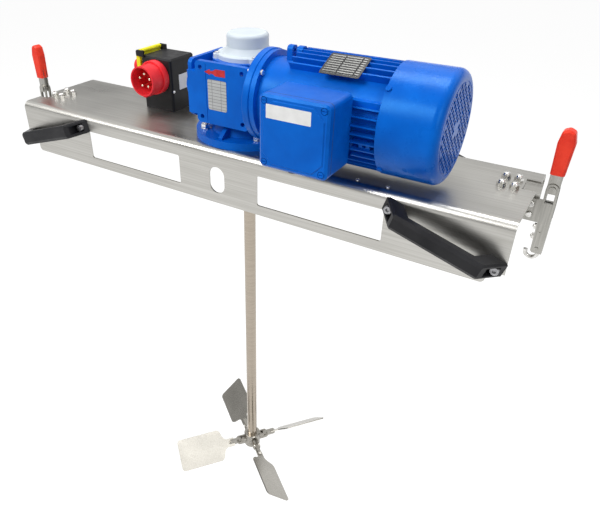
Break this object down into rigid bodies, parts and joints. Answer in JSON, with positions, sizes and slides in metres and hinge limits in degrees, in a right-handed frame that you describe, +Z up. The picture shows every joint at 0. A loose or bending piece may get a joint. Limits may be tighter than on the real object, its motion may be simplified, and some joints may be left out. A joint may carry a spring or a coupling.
{
  "type": "tank agitator",
  "caption": "Bridge-mounted tank agitator: folded cross beam with worm gear motor, switch, carrying handles, toggle clamps and a long shaft with folding blades.",
  "frame": {"origin": "on the shaft axis, in the plane in which the stepped ends of the beam rest on the container's rim", "axes": "+Z up along the shaft, +X along the beam towards the motor, +Y towards the back"},
  "size_m": [1.117, 0.3743, 1.0773],
  "materials": {
    "stainless": "brushed",
    "zinc_steel": "bright zinc plated",
    "blue_paint": "gloss enamel",
    "handle_black": "fine texture",
    "black_plastic": "fine texture",
    "grip_red": "dipped vinyl",
    "signal_red": "moulded",
    "signal_yellow": "moulded",
    "signal_green": "moulded",
    "cap_grey": "moulded",
    "bronze": "machined",
    "brass_pins": "bright",
    "copper": "varnished winding",
    "laminations": "stacked sheet",
    "shaft_steel": "ground",
    "bearing_steel": "ground",
    "rubber": "matt"
  },
  "bodies": {
    "root": {"cross_beam": "stainless", "handle_fasteners": "zinc_steel", "bracket_fasteners": "stainless", "flange_fasteners": "zinc_steel", "output_flange": "blue_paint", "gear_housing": "blue_paint", "worm_end_cover": "blue_paint", "gear_bearings": "bearing_steel", "shaft_seals": "rubber", "top_cap": "cap_grey", "cap_screws": "zinc_steel", "drive_end_shield": "blue_paint", "motor_frame": "blue_paint", "rear_end_shield": "blue_paint", "stator_core": "laminations", "stator_windings": "copper", "motor_bearings": "bearing_steel", "fan_cowl": "blue_paint", "motor_screws": "zinc_steel", "terminal_box": "blue_paint", "lid_gasket": "rubber", "terminal_lid": "blue_paint", "cable_gland": "black_plastic", "terminal_board": "black_plastic", "switch_base": "black_plastic", "switch_housing": "black_plastic", "switch_screws": "zinc_steel", "power_inlet": "signal_red", "inlet_carrier": "signal_red", "inlet_pins": "brass_pins", "clamp_bracket_left": "stainless", "carry_handle_front_left": "handle_black", "carry_handle_back_left": "handle_black", "clamp_bracket_right": "stainless", "carry_handle_front_right": "handle_black", "carry_handle_back_right": "handle_black"},
    "output": {"agitator_shaft": "stainless", "impeller_hub": "stainless", "hollow_output_shaft": "shaft_steel", "worm_wheel": "bronze"},
    "rotor": {"motor_shaft": "shaft_steel", "rotor_core": "laminations", "worm": "shaft_steel", "fan": "black_plastic"},
    "flap": {"stop_flap": "signal_yellow"},
    "mushroom": {"stop_mushroom": "signal_red"},
    "start": {"start_button": "signal_green"},
    "stop": {"stop_button": "signal_red"},
    "folding_blade_1": {"blade_1": "stainless"},
    "folding_blade_2": {"blade_2": "stainless"},
    "folding_blade_3": {"blade_3": "stainless"},
    "folding_blade_4": {"blade_4": "stainless"},
    "lever_right": {"clamp_lever_right": "stainless", "clamp_grip_right": "grip_red"},
    "link_right": {"clamp_link_right": "stainless", "clamp_hook_right": "stainless"},
    "lever_left": {"clamp_lever_left": "stainless", "clamp_grip_left": "grip_red"},
    "link_left": {"clamp_link_left": "stainless", "clamp_hook_left": "stainless"}
  },
  "joints": [
    {"name": "output_spin", "type": "hinge", "parent": "root", "child": "output", "pos_m": [0, 0, 0.18], "axis": [0, 0, 1], "continuous": true},
    {"name": "rotor_spin", "type": "hinge", "parent": "root", "child": "rotor", "pos_m": [0.2, -0.048, 0.182], "axis": [1, 0, 0], "continuous": true},
    {"name": "blade_1_fold", "type": "hinge", "parent": "output", "child": "folding_blade_1", "pos_m": [0.02155, 0.02758, -0.778], "axis": [-0.788, 0.6157, 0], "range_deg": [0, 88]},
    {"name": "blade_2_fold", "type": "hinge", "parent": "output", "child": "folding_blade_2", "pos_m": [-0.02758, 0.02155, -0.778], "axis": [-0.6157, -0.788, 0], "range_deg": [0, 88]},
    {"name": "blade_3_fold", "type": "hinge", "parent": "output", "child": "folding_blade_3", "pos_m": [-0.02155, -0.02758, -0.778], "axis": [0.788, -0.6157, 0], "range_deg": [0, 88]},
    {"name": "blade_4_fold", "type": "hinge", "parent": "output", "child": "folding_blade_4", "pos_m": [0.02758, -0.02155, -0.778], "axis": [0.6157, 0.788, 0], "range_deg": [0, 88]},
    {"name": "clamp_right_lever", "type": "hinge", "parent": "root", "child": "lever_right", "pos_m": [0.546, 0.03, 0.054], "axis": [0, 1, 0], "range_deg": [0, 100]},
    {"name": "clamp_right_link", "type": "hinge", "parent": "lever_right", "child": "link_right", "pos_m": [0.545, 0.03, 0.091], "axis": [0, 1, 0], "range_deg": [-100, 0]},
    {"name": "clamp_left_lever", "type": "hinge", "parent": "root", "child": "lever_left", "pos_m": [-0.546, -0.03, 0.054], "axis": [0, -1, 0], "range_deg": [0, 100]},
    {"name": "clamp_left_link", "type": "hinge", "parent": "lever_left", "child": "link_left", "pos_m": [-0.545, -0.03, 0.091], "axis": [0, -1, 0], "range_deg": [-100, 0]},
    {"name": "flap_lift", "type": "hinge", "parent": "root", "child": "flap", "pos_m": [-0.281, 0.047, 0.197], "axis": [0, 1, 0], "range_deg": [0, 110]},
    {"name": "mushroom_press", "type": "slide", "parent": "flap", "child": "mushroom", "axis": [1, 0, 0], "range_m": [0, 0.003], "stiffness_N_per_m": 600},
    {"name": "stop_press", "type": "slide", "parent": "root", "child": "stop", "axis": [1, 0, 0], "range_m": [0, 0.003], "stiffness_N_per_m": 600},
    {"name": "start_press", "type": "slide", "parent": "root", "child": "start", "axis": [1, 0, 0], "range_m": [0, 0.003], "stiffness_N_per_m": 600}
  ],
  "couplings": [
    {"joint": "rotor_spin", "follows": "output_spin", "ratio": 15},
    {"joint": "clamp_right_link", "follows": "clamp_right_lever", "ratio": -1},
    {"joint": "clamp_left_link", "follows": "clamp_left_lever", "ratio": -1},
    {"joint": "stop_press", "follows": "mushroom_press", "ratio": 1}
  ]
}
